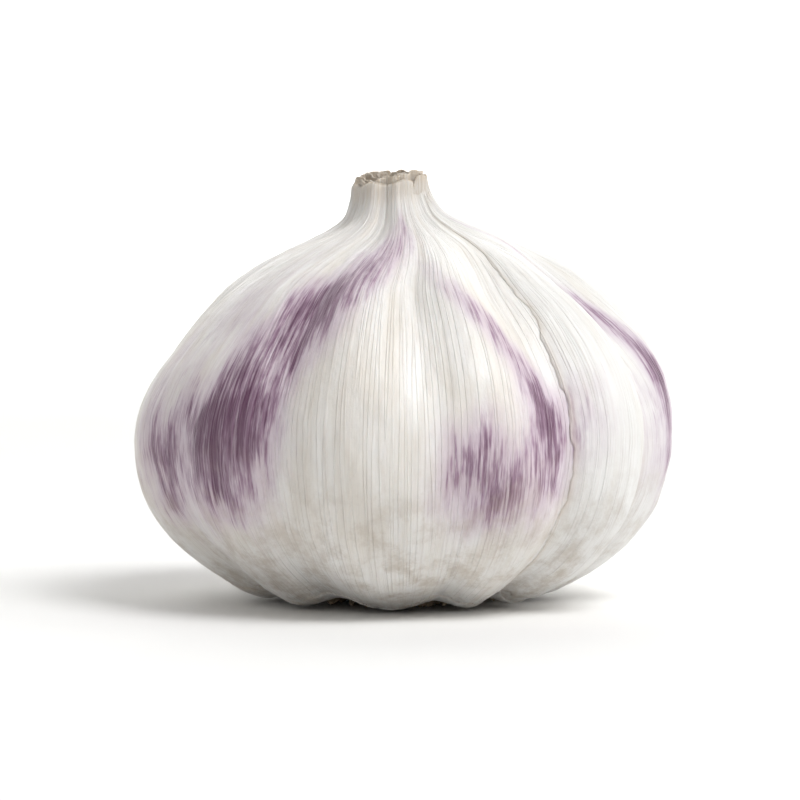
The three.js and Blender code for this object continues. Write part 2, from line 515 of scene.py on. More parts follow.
def relief_tree():
    """Veins, wrinkles and crumples raised along the normals, following the fibres."""
    depths = floats("Vein depth", "Wrinkle depth", "Crumple depth")
    inputs = {"Geometry": "Geometry", **depths, "Material": "Material"}
    sketch, given = new_group("Papery relief", "GeometryNodeTree", inputs, {"Geometry": "Geometry"})
    read = "GeometryNodeInputNamedAttribute"
    grain = sketch.add(read, {"Name": "grain"}, data_type="FLOAT_VECTOR").outputs[0]
    girth = sketch.add(read, {"Name": "girth"}, data_type="FLOAT").outputs[0]

    def layer(fineness, depth, detail, ridged=False):
        centred = sketch.math("SUBTRACT", sketch.grained(grain, fineness, detail, 0.55), 0.5)
        if ridged:
            centred = sketch.math("SUBTRACT", RIDGE_HALF, sketch.math("ABSOLUTE", centred))
        return sketch.times(centred, sketch.times(depth, 2.0))

    veins = layer(RAISED_VEINS, given["Vein depth"], 1.0)
    wrinkles = layer(RAISED_WRINKLES, given["Wrinkle depth"], 3.0, ridged=True)
    crumple = layer(RAISED_CRUMPLE, given["Crumple depth"], 3.0)
    total = sketch.math("ADD", sketch.math("ADD", veins, wrinkles), crumple)
    normal = sketch.add("GeometryNodeInputNormal").outputs[0]
    offset = sketch.vector("SCALE", normal, sketch.times(total, girth))
    move = sketch.add("GeometryNodeSetPosition", {"Geometry": given["Geometry"], "Offset": offset})
    return sketch.put_out_geometry(move.outputs[0], given["Material"])


def add_relief(obj, material, settings):
    made = obj.modifiers.new("Papery relief", "NODES")
    made.node_group = bpy.data.node_groups.get("Papery relief") or relief_tree()
    depths = {
        "Vein depth": settings.vein_depth,
        "Wrinkle depth": settings.wrinkle_depth,
        "Crumple depth": settings.crumple_depth,
    }
    set_inputs(made, {**depths, "Material": material})


def streak_group(name):
    """Purple pigment in streaks along the fibres, few where the blush is faint, more where it is strong."""
    outputs = floats("Wash", "Light streaks", "Dark streaks")
    sketch, given = new_group(name, "ShaderNodeTree", {"Grain": "Vector", "Blush": "Float"}, outputs)
    grain, blush = given["Grain"], given["Blush"]
    broad = sketch.grained(grain, PATCHINESS, 3.0, 0.55)
    coarse = sketch.grained(grain, STREAKS, 4.0, 0.62)
    fine = sketch.grained(grain, FINE_STREAKS, 3.0, 0.6)
    patchy = sketch.times(sketch.math("SUBTRACT", broad, 0.5), 0.9)
    patchy = sketch.times(patchy, sketch.stretch(blush, 0.0, 0.3))
    density = sketch.math("ADD", blush, patchy, clamp=True)
    mixed = sketch.weighted((coarse, 0.54), (fine, 0.46))
    needed = sketch.stretch(density, 0.0, 1.0, 0.80, 0.30, smooth=False)
    light = sketch.stretch(sketch.math("SUBTRACT", mixed, needed), -0.11, 0.14)
    light = sketch.times(light, sketch.stretch(fine, 0.32, 0.60, 0.55, 1.0))
    needed = sketch.stretch(density, 0.25, 1.0, 0.80, 0.29, smooth=False)
    dark = sketch.stretch(sketch.math("SUBTRACT", mixed, needed), -0.08, 0.23)
    wash = sketch.stretch(density, 0.02, 0.66)
    return sketch.put_out({"Wash": wash, "Light streaks": light, "Dark streaks": dark})


def fibre_group(name):
    """Veins and fibres along the grain, the slow mottling of dry paper, and the relief of them all."""
    inputs = {"Grain": "Vector", **floats("Around", "Along")}
    outputs = floats("Veins", "Strength", "Fibres", "Mottle", "Relief")
    sketch, given = new_group(name, "ShaderNodeTree", inputs, outputs)
    grain = given["Grain"]
    scale = sketch.combine(given["Around"], given["Around"], given["Along"])
    lines = sketch.noise(sketch.vector("MULTIPLY", grain, scale), 1.0, 1.0, 0.4)
    off_line = sketch.math("ABSOLUTE", sketch.math("SUBTRACT", lines, 0.5))
    veins = sketch.stretch(off_line, 0.0, VEIN_HALF, 1.0, 0.0)
    fibres = sketch.grained(grain, FIBRES, 3.0, 0.6)
    creases = sketch.grained(grain, CREASES, 5.0, 0.62)
    strength = sketch.stretch(sketch.grained(grain, VEIN_FADING, 2.0, 0.5), 0.38, 0.60, 0.25, 1.0)
    mottle = sketch.grained(grain, MOTTLE, 5.0, 0.6)
    raised = sketch.weighted((veins, 0.30), (lines, 0.5), (creases, 0.9), (fibres, 0.22))
    return sketch.put_out(
        {"Veins": veins, "Strength": strength, "Fibres": fibres, "Mottle": mottle, "Relief": raised}
    )


def soil_and_shade_group(name):
    """Specks and smears of dry soil, thicker low down; on the bulb's skin the darkening towards the bottom is
    partly painted shade.
    """
    sketch, given = new_group(name, "ShaderNodeTree", {"Place": "Vector", **floats("Top")}, floats("Dust"))
    place = given["Place"]
    low = sketch.stretch(sketch.math("DIVIDE", sketch.height(place), given["Top"]), 0.0, 1.0, 1.0, 0.0)
    smears = sketch.stretch(sketch.noise(place, 260.0, 5.0, 0.7), 0.42, 0.68)
    specks = sketch.stretch(sketch.noise(place, 1500.0, 2.0, 0.5), 0.70, 0.78)
    smeared = sketch.times(low, smears)
    dust = sketch.math("ADD", smeared, sketch.times(specks, 0.12), clamp=True)
    return sketch.put_out({"Dust": dust})


EFFECTS = {"Purple streaks": streak_group, "Paper fibres": fibre_group, "Soil dust and low shade": soil_and_shade_group}


def use_effect(sketch, name, **values):
    """Places a shared effect in a material, with its own values, and builds it the first time."""
    tree = bpy.data.node_groups.get(name) or EFFECTS[name](name)
    inputs = {title.capitalize(): value for title, value in values.items()}
    return sketch.add("ShaderNodeGroup", inputs, node_tree=tree).outputs


def new_material(name, plain):
    """A material with its own nodes, its Principled shader with its plain values, and its output."""
    material = bpy.data.materials.new(name)
    material.use_nodes = True
    material.node_tree.nodes.clear()
    sketch = Sketch(material.node_tree)
    shader = sketch.add("ShaderNodeBsdfPrincipled", plain)
    sketch.add("ShaderNodeOutputMaterial", {0: shader.outputs[0]})
    return material, sketch, shader


def attribute(sketch, name, output="Fac"):
    return sketch.add("ShaderNodeAttribute", attribute_name=name, attribute_type="GEOMETRY").outputs[output]


def add_bump(sketch, shader, height, distance):
    bump = sketch.add("ShaderNodeBump", {"Height": height, "Distance": distance, "Strength": 1.0})
    sketch.feed(shader.inputs["Normal"], bump.outputs[0])


def paper_material(name, skin, purple, body_share):
    """Dry garlic paper: white and cream, veined, streaked with purple and brown where it dried out."""
    plain = {
        "Specular IOR Level": 0.42,
        "Subsurface Weight": body_share,
        "Subsurface Radius": (1.0, 0.8, 0.65),
        "Subsurface Scale": 0.9 * MM,
        "Sheen Weight": 0.08,
    }
    material, sketch, shader = new_material(name, plain)
    grain = attribute(sketch, "grain", "Vector")
    blush = sketch.times(attribute(sketch, "blush"), purple)
    dry = attribute(sketch, "dry")
    place = sketch.add("ShaderNodeTexCoord").outputs["Object"]
    streaks = use_effect(sketch, "Purple streaks", grain=grain, blush=blush)
    fibres = use_effect(sketch, "Paper fibres", grain=grain, around=VEINS[0], along=VEINS[1])
    dust = use_effect(sketch, "Soil dust and low shade", place=place, top=SOIL_AND_SHADE_TOP)

    threads = fibres["Fibres"]
    creamy = sketch.times(attribute(sketch, "crown"), 0.12)
    creamy = sketch.stretch(sketch.math("ADD", fibres["Mottle"], creamy), 0.40, 0.78)
    colour = sketch.mix(creamy, skin.paper_colour, skin.cream_colour)
    colour = sketch.tint(colour, sketch.stretch(threads, 0.40, 0.70), 0.16, skin.vein_colour)
    strong = sketch.times(sketch.stretch(threads, 0.42, 0.62, 0.05, 0.31), fibres["Strength"])
    colour = sketch.tint(colour, fibres["Veins"], strong, skin.vein_colour)
    colour = sketch.tint(colour, streaks["Wash"], 0.75, skin.wash_colour)
    colour = sketch.tint(colour, streaks["Light streaks"], 0.8, skin.lilac_colour)
    veined = sketch.stretch(fibres["Veins"], 0.2, 1.0, 0.97, 0.62)
    covered = sketch.times(veined, sketch.stretch(threads, 0.36, 0.62, 1.0, 0.70))
    colour = sketch.tint(colour, streaks["Dark streaks"], covered, skin.streak_colour)
    colour = sketch.tint(colour, dry, sketch.stretch(fibres["Relief"], 0.45, 0.95), skin.dry_colour)
    # Soil dust, partly painted shade: the skin darkens towards the bottom.
    colour = sketch.tint(colour, dust["Dust"], SOIL_AND_SHADE_STRENGTH, skin.soil_and_shade_colour)
    sketch.feed(shader.inputs["Base Color"], colour)
    gloss = sketch.stretch(fibres["Mottle"], 0.3, 0.7, 0.36, 0.52)
    rough = sketch.math("ADD", gloss, sketch.times(dry, 0.25), clamp=True)
    sketch.feed(shader.inputs["Roughness"], rough)
    add_bump(sketch, shader, fibres["Relief"], 0.16 * MM)
    return material


# Sizes and colours that a user would change


def colour_property(name, description, default):
    return bpy.props.FloatVectorProperty(name=name, description=description, default=default, subtype="COLOR")


def length_property(name, description, default):
    return bpy.props.FloatProperty(name=name, description=description, default=default, unit="LENGTH")


class GarlicSkinSettings(bpy.types.PropertyGroup):
    columns: bpy.props.IntProperty(name="Columns", description="Points round the bulb", default=552, min=60)
    rows: bpy.props.IntProperty(name="Rows", description="Points from roots to neck", default=164, min=40)
    vein_depth: length_property("Vein depth", "Height of the fine veins", 0.05 * MM)
    wrinkle_depth: length_property("Wrinkle depth", "Height of the long wrinkles", 0.22 * MM)
    crumple_depth: length_property("Crumple depth", "Height of the broad unevenness", 0.38 * MM)
    paper_colour: colour_property("Paper", "The white of the skin", (0.84, 0.825, 0.80))
    cream_colour: colour_property("Cream", "The warmer white in it", (0.75, 0.71, 0.65))
    vein_colour: colour_property("Veins", "The fine veins", (0.52, 0.44, 0.40))
    wash_colour: colour_property("Wash", "Faint lilac round the streaks", (0.60, 0.49, 0.575))
    lilac_colour: colour_property("Lilac", "The lighter streaks", (0.33, 0.185, 0.295))
    streak_colour: colour_property("Streaks", "The darkest streaks", (0.086, 0.021, 0.063))
    dry_colour: colour_property("Dried edge", "Where the skin dried", (0.60, 0.46, 0.31))
    # The soil colour also serves as painted shade low on the bulb.
    soil_and_shade_colour: colour_property("Soil", "Dry soil near the roots", (0.44, 0.36, 0.28))


class GarlicWrapperSettings(bpy.types.PropertyGroup):
    thickness: length_property("Thickness", "Thickness of the loose paper", 0.07 * MM)
    clearance: length_property("Clearance", "Gap between skin and wrapper", 0.10 * MM)


class GarlicRootSettings(bpy.types.PropertyGroup):
    spacing: length_property("Spacing", "Least distance between roots", 0.92 * MM)
    length: length_property("Length", "Length of a trimmed root", 2.3 * MM)
    thickness: length_property("Thickness", "Radius of a root", 0.46 * MM)
    root_colour: colour_property("Roots", "Dry roots", (0.62, 0.51, 0.37))
    # This colour gives the roots' random darker tone and their soil dust, and is also the painted shade in
    # the hollows by the bed.
    shade_colour: colour_property("Shaded roots", "Darker, soiled roots", (0.25, 0.175, 0.11))


class GarlicStageSettings(bpy.types.PropertyGroup):
    distance: length_property("Distance", "From the camera to the bulb", 0.62)
    elevation: bpy.props.FloatProperty(
        name="Elevation", description="How far it looks down", default=math.radians(4), subtype="ANGLE"
    )
    view_width: length_property("View width", "Width of the picture at the bulb", 86 * MM)
    floor_colour: colour_property("Floor", "The pale floor and backdrop", (0.88, 0.88, 0.87))


# The pieces

CUT_ROWS = 12
# Where the skin dried brown by the roots and by the cut, and how much there and over the cut end.
ROOT_DRY_SHARE = 0.09
NECK_DRY_FROM, NECK_DRY = 0.955, 0.40
CUT_DRY = 0.8
# How the raised relief weakens over the cut end, by the root seat and where the bulb is narrower.
CUT_GIRTH, SEAT_GIRTH_SHARE = 0.12, 0.05
GIRTH_POWER = 0.75
# Where the crowns are a little creamier, by height.
CREAM_IN, CREAM_OUT = (3, 9), (31, 37)
# The fibres' coordinate along the outline at the middle of the cut end.
GRAIN_END = 2.8
# How much light passes into the skin, and into a loose paper.
SKIN_BODY, LOOSE_BODY = 0.16, 0.12


class GARLIC_OT_skin(bpy.types.Operator):
    """Makes the bulb's skin, drawn over the cloves and up into the cut neck"""

    bl_idname = "garlic.skin"
    bl_label = "Bulb skin"

    def execute(self, context):
        settings = context.scene.garlic_skin
        columns, rows = settings.columns, settings.rows
        around = np.linspace(0, 2 * math.pi, columns, endpoint=False)
        azimuth, share = np.meshgrid(around, np.linspace(0, 1, rows))
        side = skin_point(azimuth, share)
        radius, height, _, _ = outline_at(share)
        cut = spline_point(CUT, np.linspace(0, 1, CUT_ROWS + 1)[:-1])
        cut_azimuth, cut_radius = np.meshgrid(around, cut[:, 0])
        end = cut_point(cut_azimuth, cut_radius, np.broadcast_to(cut[:, 1:], cut_azimuth.shape))
        low = np.array([[0.0, 0.0, ROOT_SEAT]])
        high = cut_point(np.zeros(1), np.zeros(1), np.full(1, CUT[-1][1]))
        points = np.concatenate([side.reshape(-1, 3), end.reshape(-1, 3), low, high])
        skin = mesh_from("bulb_skin", points * FORM_UNIT, shell_faces(rows + CUT_ROWS, columns))

        def spread(on_side, on_cut=0.0, at_low=0.0, at_high=0.0):
            """Values for the points up the side, over the cut end and at the two middles."""
            return np.concatenate([on_side.ravel(), np.full(cut_azimuth.size, on_cut), [at_low, at_high]])

        side_grain = grain_of(azimuth, share * OUTLINE_LENGTH)
        cut_grain = grain_of(cut_azimuth, OUTLINE_LENGTH + NECK_RADIUS - cut_radius)
        near_root = 1 - smoothstep(share, 0.0, ROOT_DRY_SHARE)
        near_cut = NECK_DRY * smoothstep(share, NECK_DRY_FROM, 1.0)
        cream = smoothstep(height, *CREAM_IN) * (1 - smoothstep(height, *CREAM_OUT))
        girth = smoothstep(share, 0, SEAT_GIRTH_SHARE) * (radius / BULB_RADIUS) ** GIRTH_POWER
        set_attributes(
            skin,
            np.concatenate([side_grain, cut_grain, [[0, 0, 0], [0, 0, GRAIN_END]]]),
            blush=spread(blush_at(azimuth, height)),
            crown=spread(clove_at(azimuth)[0] * cream),
            dry=spread(np.maximum(near_root, near_cut), CUT_DRY, 1.0, CUT_DRY),
            girth=spread(girth, CUT_GIRTH),
        )
        add_relief(skin, paper_material("garlic_skin", settings, 1.0, SKIN_BODY), settings)
        finish_piece(skin, "papery_skin", "bulb")
        return {"FINISHED"}


# Loose wrappers: left and right edge in degrees, low and high edge as shares of the outline, how ragged
# the side, low and high edges are, how far the torn edges lift, how purple it is, and its seed.
Wrapper = namedtuple(
    "Wrapper", "name left right low high ragged_side ragged_low ragged_high lift purple seed"
)
WRAPPERS = (
    Wrapper("wrapper_right", 40, 152, 0.09, 0.985, 1.0, 0.015, 0.012, 0.05, 1.0, 3),
    Wrapper("wrapper_back", 190, 244, 0.36, 0.985, 2.2, 0.05, 0.015, 0.14, 0.5, 8),
    Wrapper("wrapper_base", -95, 128, 0.012, 0.080, 4.0, 0.004, 0.020, 0.10, 0.0, 15),
    Wrapper("wrapper_heel", 150, 300, 0.016, 0.095, 4.0, 0.004, 0.024, 0.12, 0.0, 21),
)
# Millimetres between the points of a wrapper, round the bulb and along it.
WRAPPER_STEP_AROUND, WRAPPER_STEP_ALONG = 0.30, 0.36
# The share of a wrapper's width and length where its edge is pressed into the skin, and how deep.
PRESSED_SHARE, PRESSED_DEPTH = 0.02, 0.03
# How steeply the raggedness falls off inwards from the side edges and from the low and high edges.
RAGGED_FALL_SIDE, RAGGED_FALL_END = 12, 8
# How far in from its side and low edges a wrapper lifts, and where that ends towards the neck.
LIFT_SIDE, LIFT_LOW = 0.12, 0.10
LIFT_OUT = (0.8, 0.95)
# How far in from its edges a wrapper dried brown, how much, and how much whiter it is.
RIM, RIM_HIGH = 0.02, 0.03
RIM_DRY = 0.3
WRAPPER_CROWN = -0.25


def ragged_line(places, seed, octaves=5, first=3.0):
    """A torn edge: a seeded sum of waves, each finer and weaker."""
    draw = random.Random(seed)
    line = np.zeros_like(places)
    for k in range(octaves):
        waves = first * 1.9**k
        line = line + np.sin(2 * math.pi * (waves * places + draw.random())) * 0.62**k
    return line / 1.6


def near_ends(places, low, high):
    """1 at both ends of 0 to 1, and 0 from a share in from each end."""
    return np.maximum(1 - smoothstep(places, 0, low), smoothstep(places, 1 - high, 1))


class GARLIC_OT_wrappers(bpy.types.Operator):
    """Makes the loose outer wrappers with their torn edges"""

    bl_idname = "garlic.wrappers"
    bl_label = "Loose wrappers"

    def execute(self, context):
        skin = context.scene.garlic_skin
        material = paper_material("wrapper_paper", skin, 1.0, LOOSE_BODY)
        for wrapper in WRAPPERS:
            self.make(wrapper, skin, context.scene.garlic_wrapper, material)
        return {"FINISHED"}

    def make(self, wrapper, skin, settings, material):
        width, length = wrapper.right - wrapper.left, wrapper.high - wrapper.low
        columns = int(math.radians(width) * BULB_RADIUS / WRAPPER_STEP_AROUND)
        rows = int(length * OUTLINE_LENGTH / WRAPPER_STEP_ALONG)
        u, v = np.meshgrid(np.linspace(0, 1, columns), np.linspace(0, 1, rows))
        left = wrapper.ragged_side * ragged_line(v, wrapper.seed) * (1 - u) ** RAGGED_FALL_SIDE
        right = wrapper.ragged_side * ragged_line(v, wrapper.seed + 1) * u**RAGGED_FALL_SIDE
        low = wrapper.ragged_low * ragged_line(u, wrapper.seed + 2) * (1 - v) ** RAGGED_FALL_END
        high = wrapper.ragged_high * ragged_line(u, wrapper.seed + 3, first=4.0) * v**RAGGED_FALL_END
        azimuth = np.radians(wrapper.left + u * width + left + right)
        share = wrapper.low + v * length + low + high

        edge = np.maximum(near_ends(u, LIFT_SIDE, LIFT_SIDE), 1 - smoothstep(v, 0, LIFT_LOW))
        flutter = np.maximum(0, ragged_line(v + u, wrapper.seed + 4, octaves=2, first=2.0))
        curl = wrapper.lift * edge * flutter * (1 - smoothstep(share, *LIFT_OUT))
        free = np.minimum(np.minimum(u, 1 - u) / PRESSED_SHARE, np.minimum(v, 1 - v) / PRESSED_SHARE)
        free = smoothstep(free, 0, 1)
        stand_off = settings.clearance / MM * free - PRESSED_DEPTH * (1 - free) + curl
        points = skin_point(azimuth, share, stand_off)
        sheet = mesh_from(wrapper.name, points * FORM_UNIT, grid_faces(rows, columns, closed=False))

        radius, height, _, _ = outline_at(share)
        rim = np.maximum(near_ends(v, RIM, RIM_HIGH), near_ends(u, RIM, RIM))
        set_attributes(
            sheet,
            grain_of(azimuth, share * OUTLINE_LENGTH),
            blush=wrapper.purple * blush_at(azimuth, height),
            dry=RIM_DRY * rim,
            crown=WRAPPER_CROWN,
            girth=(radius / BULB_RADIUS) ** GIRTH_POWER,
        )
        add_relief(sheet, material, skin)
        thicken(sheet, settings.thickness, 1.0)
        finish_piece(sheet, "papery_skin")


# Rolled leaf bases in the cut neck: radius, rise over the cut, first and last edge in degrees, and seed.
NeckLayer = namedtuple("NeckLayer", "radius rise first last seed")
NECK_LAYERS = (
    NeckLayer(3.72, 0.25, 20, 318, 31),
    NeckLayer(3.35, 0.65, 150, 480, 32),
    NeckLayer(2.92, 0.40, -80, 262, 33),
    NeckLayer(2.45, 0.80, 40, 402, 34),
    NeckLayer(1.95, 0.35, 205, 520, 35),
    NeckLayer(1.45, 0.60, 0, 330, 36),
    NeckLayer(0.85, 0.20, 90, 440, 37),
)
NECK_LAYER_ROWS = 24
NECK_LAYER_COLUMNS, NECK_LAYER_STEP = 24, 0.07
NECK_LAYER_FOOT = NECK_TOP - 2.4
NECK_LAYER_THICKNESS = 0.17 * MM
NECK_CORNER, NECK_CORNER_DROP = 1.1, 1.2
# How deep the tears and the waves of a layer's tip are, and how far it rolls in and waves sideways.
NECK_TEAR, NECK_TIP_WAVE = 0.5, 0.3
NECK_ROLL, NECK_WAVE = 0.14, 0.10
# How dried the leaf bases are below, how much more at the tip, and where that starts.
LEAF_DRY, TIP_DRY, TIP_DRY_FROM = 0.45, 0.25, 0.55


class GARLIC_OT_neck(bpy.types.Operator):
    """Makes the rolled leaf bases that stand ragged in the cut neck"""

    bl_idname = "garlic.neck"
    bl_label = "Cut neck"

    def execute(self, context):
        material = paper_material("neck_paper", context.scene.garlic_skin, 0.0, LOOSE_BODY)
        for k, layer in enumerate(NECK_LAYERS):
            self.make(f"neck_layer_{k + 1}", layer, material)
        return {"FINISHED"}

    def make(self, name, layer, material):
        span = math.radians(layer.last - layer.first)
        columns, rows = int(NECK_LAYER_COLUMNS + span * layer.radius / NECK_LAYER_STEP), NECK_LAYER_ROWS
        u, v = np.meshgrid(np.linspace(0, 1, columns), np.linspace(0, 1, rows))
        azimuth = math.radians(layer.first) + u * span
        tears = NECK_TEAR * np.maximum(0, ragged_line(u, layer.seed + 9, octaves=3, first=4.0)) ** 2
        wave = NECK_TIP_WAVE * ragged_line(u, layer.seed, octaves=3, first=1.5)
        tip = NECK_TOP + layer.rise + wave - tears
        corner = np.minimum(u, 1 - u) * span * layer.radius
        tip = tip - NECK_CORNER_DROP * (1 - smoothstep(corner, 0, NECK_CORNER)) ** 2
        height = NECK_LAYER_FOOT + v * (tip - NECK_LAYER_FOOT)
        sway = NECK_WAVE * v * ragged_line(u, layer.seed + 5, octaves=3, first=2.0)
        roll = NECK_ROLL * (1 - 2 * u) + sway
        around = layer.radius + pleats_at(azimuth) * (layer.radius / NECK_RADIUS) ** 1.5 + roll
        points = bend_neck(azimuth, around, height, np.minimum(height, NECK_TOP - 2))
        sheet = mesh_from(name, points * FORM_UNIT, grid_faces(rows, columns, closed=False))
        dry = LEAF_DRY + TIP_DRY * smoothstep(v, TIP_DRY_FROM, 1.0)
        set_attributes(sheet, grain_of(azimuth + layer.seed, height + 30), blush=0, crown=0, dry=dry)
        sheet.data.materials.append(material)
        thicken(sheet, NECK_LAYER_THICKNESS, 0.0)
        finish_piece(sheet, "papery_skin")


STUB_STEPS, STUB_SIDES = 7, 8
# Unscaled, a stub reaches 1 past the point that it is set on, and starts this far behind it.
STUB_SUNK = 0.3
# How far a stub leans out at the middle and at the rim of the bed, for a fall of STUB_FALL, how far it
# strays from that, and how much its size varies.
SPLAY = (0.05, 1.9)
STUB_FALL = 0.75
STRAY_LOW, STRAY_HIGH = (-0.45, -0.45, -0.1), (0.45, 0.45, 0.1)
STUB_SIZES = (0.55, 1.15)


def root_tree():
    """Trimmed roots: bent stubs set on a bed and splayed outwards, none reaching below the trim height."""
    sizes = floats("Spacing", "Length", "Thickness", "Reach", "Trim", "Crook")
    inputs = {"Geometry": "Geometry", **sizes, "Seed": "Int", "Material": "Material"}
    sketch, given = new_group("Root tuft", "GeometryNodeTree", inputs, {"Geometry": "Geometry"})
    seed = given["Seed"]
    scatter = sketch.add(
        "GeometryNodeDistributePointsOnFaces",
        {"Mesh": given["Geometry"], "Distance Min": given["Spacing"], "Density Max": 4.0e6, "Seed": seed},
        distribute_method="POISSON",
    )
    ends = {"Start": (0.0, 0.0, -STUB_SUNK), "End": (0.0, 0.0, 1.0)}
    line = sketch.add("GeometryNodeCurvePrimitiveLine", ends)
    spine = sketch.add("GeometryNodeResampleCurve", {"Curve": line.outputs[0], "Count": STUB_STEPS})
    ring = sketch.add("GeometryNodeCurvePrimitiveCircle", {"Resolution": STUB_SIDES, "Radius": 1.0})
    stub = sketch.add(
        "GeometryNodeCurveToMesh",
        {"Curve": spine.outputs[0], "Profile Curve": ring.outputs[0], "Fill Caps": True},
    )

    place = sketch.add("GeometryNodeInputPosition").outputs[0]
    flat = sketch.vector("MULTIPLY", place, (1.0, 1.0, 0.0))
    away = sketch.add("ShaderNodeVectorMath", {0: flat}, operation="LENGTH").outputs["Value"]
    splay = sketch.stretch(sketch.math("DIVIDE", away, given["Reach"]), 0.3, 1.0, *SPLAY, smooth=False)
    outward = sketch.vector("SCALE", sketch.vector("NORMALIZE", flat), splay)
    chance = "FunctionNodeRandomValue"
    stray = sketch.add(chance, {0: STRAY_LOW, 1: STRAY_HIGH, "Seed": seed}, data_type="FLOAT_VECTOR")
    heading = sketch.vector("ADD", outward, (0.0, 0.0, -STUB_FALL))
    heading = sketch.vector("ADD", heading, stray.outputs[0])
    turn = sketch.add("FunctionNodeAlignRotationToVector", {"Vector": heading}, axis="Z")
    sizes = {2: STUB_SIZES[0], 3: STUB_SIZES[1], "Seed": seed}
    size = sketch.add(chance, sizes, data_type="FLOAT").outputs[1]

    # How long a stub may be before its end, as wide as it leans, would pass the trim height.
    fall = sketch.height(sketch.vector("NORMALIZE", heading))
    fall = sketch.math("MAXIMUM", sketch.times(fall, -1.0), 0.1)
    lean = sketch.math("SQRT", sketch.math("SUBTRACT", 1.0, sketch.times(fall, fall)))
    girth = sketch.times(size, given["Thickness"])
    room = sketch.math("SUBTRACT", sketch.height(place), given["Trim"])
    room = sketch.math("SUBTRACT", room, sketch.times(girth, lean))
    grown = sketch.times(size, given["Length"])
    length = sketch.math("MINIMUM", grown, sketch.math("DIVIDE", room, fall))
    planted = {
        "Points": scatter.outputs["Points"],
        "Instance": stub.outputs[0],
        "Rotation": turn.outputs[0],
        "Scale": sketch.combine(girth, girth, length),
    }
    plant = sketch.add("GeometryNodeInstanceOnPoints", planted)
    realized = sketch.add("GeometryNodeRealizeInstances", {0: plant.outputs[0]})

    where = sketch.add("GeometryNodeInputPosition").outputs[0]
    waver = sketch.add("ShaderNodeTexNoise", {"Vector": where, "Scale": 420.0}).outputs["Color"]
    aside = sketch.vector("SUBTRACT", waver, (0.5, 0.5, 0.5))
    aside = sketch.vector("MULTIPLY", aside, (1.0, 1.0, 0.0))
    offset = sketch.vector("SCALE", aside, given["Crook"])
    crook = sketch.add("GeometryNodeSetPosition", {"Geometry": realized.outputs[0], "Offset": offset})
    return sketch.put_out_geometry(crook.outputs[0], given["Material"])


def root_material(name, settings, bright):
    """Dry, fibrous root: tan, dusted with soil, and with painted shade that darkens it upwards towards the
    bed, where the hollows between the roots lie.
    """
    material, sketch, shader = new_material(name, {"Specular IOR Level": 0.25})
    place = sketch.add("ShaderNodeTexCoord").outputs["Object"]
    dust = use_effect(sketch, "Soil dust and low shade", place=place, top=6 * MM)
    fibres = sketch.noise(place, 900.0, 4.0, 0.65)
    tone = sketch.math("ADD", fibres, sketch.noise(place, 240.0, 2.0, 0.5))
    pale = [bright * c for c in settings.root_colour]
    colour = sketch.mix(sketch.stretch(tone, 0.75, 1.25), settings.shade_colour, pale)
    # Painted shade: the colour darkens with height towards the bed, standing in for the shade in the hollows
    # between the roots.
    painted_hollow_shade = sketch.stretch(sketch.height(place), 0.25 * MM, 1.1 * MM)
    colour = sketch.tint(colour, painted_hollow_shade, 0.8, settings.shade_colour)
    colour = sketch.tint(colour, dust["Dust"], 0.35, settings.shade_colour)
    sketch.feed(shader.inputs["Base Color"], colour)
    sketch.feed(shader.inputs["Roughness"], sketch.stretch(fibres, 0.3, 0.7, 0.7, 0.92))
    add_bump(sketch, shader, fibres, 0.12 * MM)
    return material


# The disc's outline from its scarred middle round its edge to its seat, as shares of its radius and height.
DISC_PROFILE = ((0.1, 0.62), (0.35, 0.5), (0.62, 0.42), (0.84, 0.46), (0.96, 0.62), (1, 0.82), (0.98, 1))
DISC_COLUMNS, DISC_ROWS = 160, 60
DISC_MIDDLE = 0.64
# How wide the disc and its tuft are, as shares of the node's half width.
DISC_SHARE, TUFT_SHARE = 0.83, 0.8
BED_COLUMNS = 64
BED_HOLE = 0.28
BED_HEIGHT = 1.25 * MM
TRIM_HEIGHT = 0.05 * MM
ROOT_CROOK = 1.2 * MM
ROOT_SEED = 4


